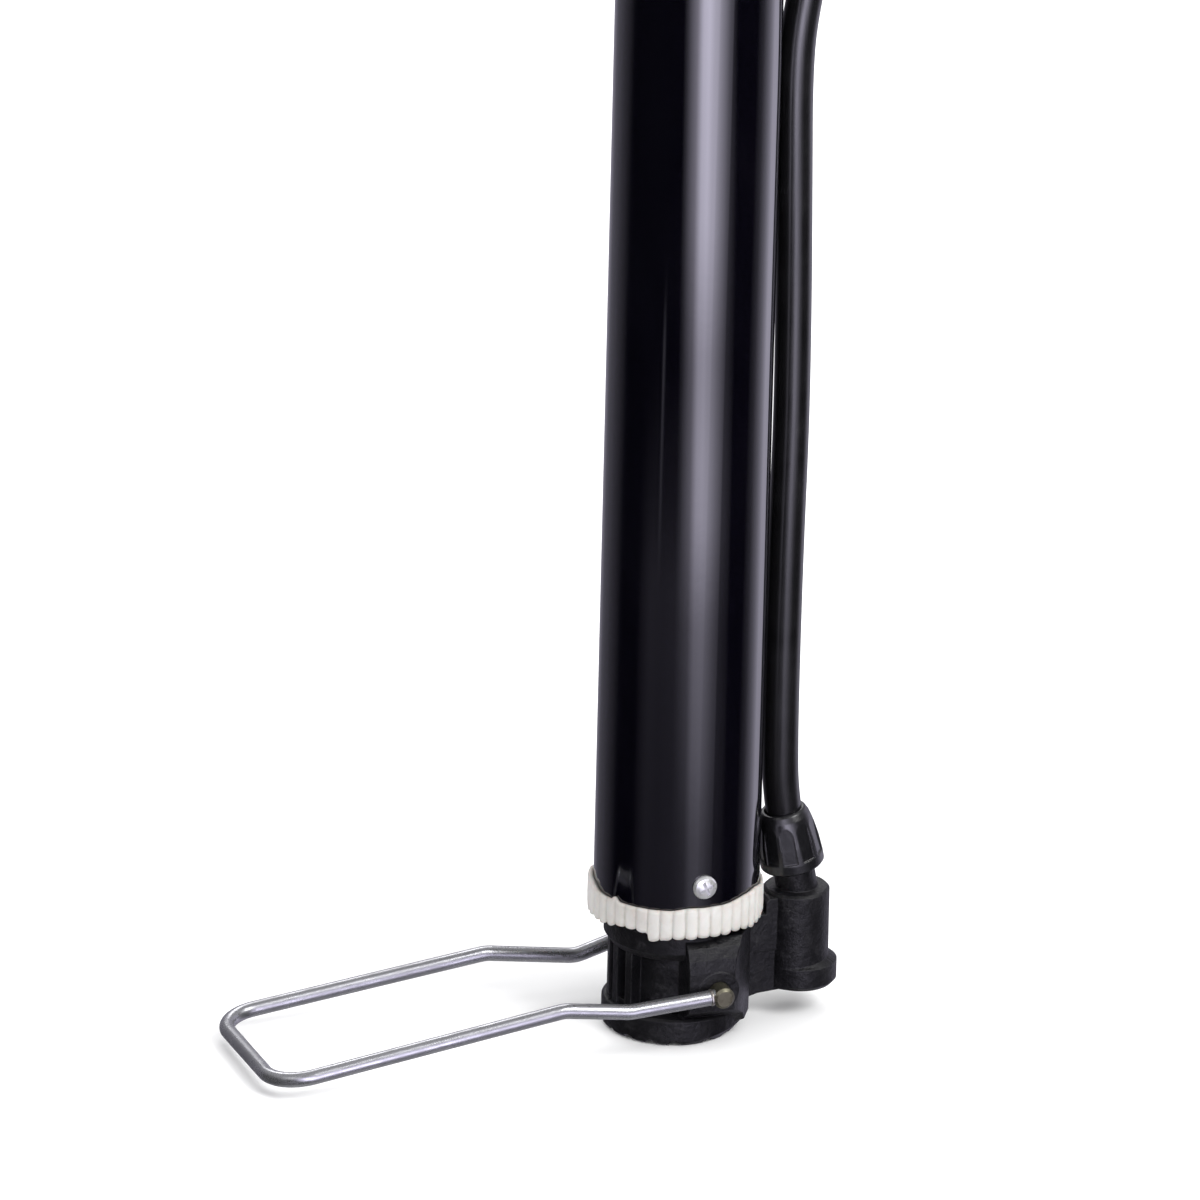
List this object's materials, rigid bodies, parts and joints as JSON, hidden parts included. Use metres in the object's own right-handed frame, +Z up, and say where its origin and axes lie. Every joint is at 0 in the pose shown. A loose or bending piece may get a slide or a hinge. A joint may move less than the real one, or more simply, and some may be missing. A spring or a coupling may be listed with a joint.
{
  "type": "portable bicycle floor pump with wire foot rest",
  "caption": "Slim upright hand pump with a painted barrel, T-handle, clipped-on hose with a lever head, and a fold-out wire loop that the foot holds down.",
  "frame": {"origin": "on the floor, in the middle of the base's flat underside, on the barrel's axis", "axes": "+Z up along the barrel, +X towards the outlet port and hose, the wire foot rest lies towards -X and its pivot runs along Y"},
  "size_m": [0.1247, 0.112, 0.3226],
  "materials": {
    "base_plastic": "moulded, satin",
    "collar_plastic": "moulded, off-white",
    "barrel_paint": "gloss black paint",
    "zinc_screw": "bright zinc plate",
    "wire_zinc": "bright zinc plate",
    "pivot_brass": "dull, oxidised",
    "brass": "turned",
    "steel_ball": "polished",
    "spring_steel": "drawn wire",
    "rod_steel": "polished tube",
    "hose_rubber": "smooth, semi-gloss",
    "seal_rubber": "soft black rubber",
    "grip_rubber": "matt",
    "gland_plastic": "moulded, satin",
    "head_plastic": "moulded, satin",
    "lever_plastic": "moulded, smooth",
    "clip_plastic": "moulded, satin",
    "cap_plastic": "moulded, satin",
    "handle_plastic": "moulded, satin",
    "bush_plastic": "grey acetal",
    "piston_plastic": "natural nylon",
    "depressor_plastic": "natural nylon",
    "ferrule_aluminium": "crimped"
  },
  "bodies": {
    "pump_body": {"base_housing": "base_plastic", "collar_ring": "collar_plastic", "barrel_tube": "barrel_paint", "base_screws": "zinc_screw", "cap_screws": "zinc_screw", "barrel_seal": "seal_rubber", "check_valve_seat": "brass", "check_valve_spring": "spring_steel", "outlet_nipple": "brass", "gland_nut": "gland_plastic", "hose": "hose_rubber", "hose_ferrule": "ferrule_aluminium", "valve_head_body": "head_plastic", "valve_head_nose": "head_plastic", "valve_head_gasket": "seal_rubber", "valve_depressor": "depressor_plastic", "lever_pin": "spring_steel", "hose_clip": "clip_plastic", "clip_screw": "zinc_screw", "clip_nut": "zinc_screw", "top_cap": "cap_plastic", "rod_guide_bush": "bush_plastic"},
    "check_valve": {"check_valve_ball": "steel_ball"},
    "piston": {"piston_head": "piston_plastic", "piston_cup": "seal_rubber", "piston_washer": "zinc_screw", "piston_buffer": "seal_rubber"},
    "rod_and_handle": {"piston_rod": "rod_steel", "piston_nut": "zinc_screw", "handle_body": "handle_plastic", "handle_grip_left": "grip_rubber", "handle_grip_right": "grip_rubber", "handle_pin": "zinc_screw"},
    "foot_rest": {"foot_wire": "wire_zinc", "foot_pivot_rod": "pivot_brass"},
    "valve_lever": {"valve_head_lever": "lever_plastic"}
  },
  "joints": [
    {"name": "pump_stroke", "type": "slide", "parent": "pump_body", "child": "piston", "axis": [0, 0, 1], "range_m": [0, 0.185]},
    {"name": "handle_turn", "type": "hinge", "parent": "piston", "child": "rod_and_handle", "pos_m": [0, 0, 0.3], "axis": [0, 0, 1], "continuous": true},
    {"name": "foot_fold", "type": "hinge", "parent": "pump_body", "child": "foot_rest", "pos_m": [0.0033, 0, 0.0119], "axis": [0, 1, 0], "range_deg": [0, 76]},
    {"name": "check_valve_lift", "type": "slide", "parent": "pump_body", "child": "check_valve", "axis": [0, 0, -1], "range_m": [0, 0.0015], "stiffness_N_per_m": 100, "springref_m": -0.001, "deforming": ["check_valve_spring"]},
    {"name": "valve_lever_throw", "type": "hinge", "parent": "pump_body", "child": "valve_lever", "pos_m": [0.0334, 0, 0.263], "axis": [0, -1, 0], "range_deg": [0, 90]}
  ]
}
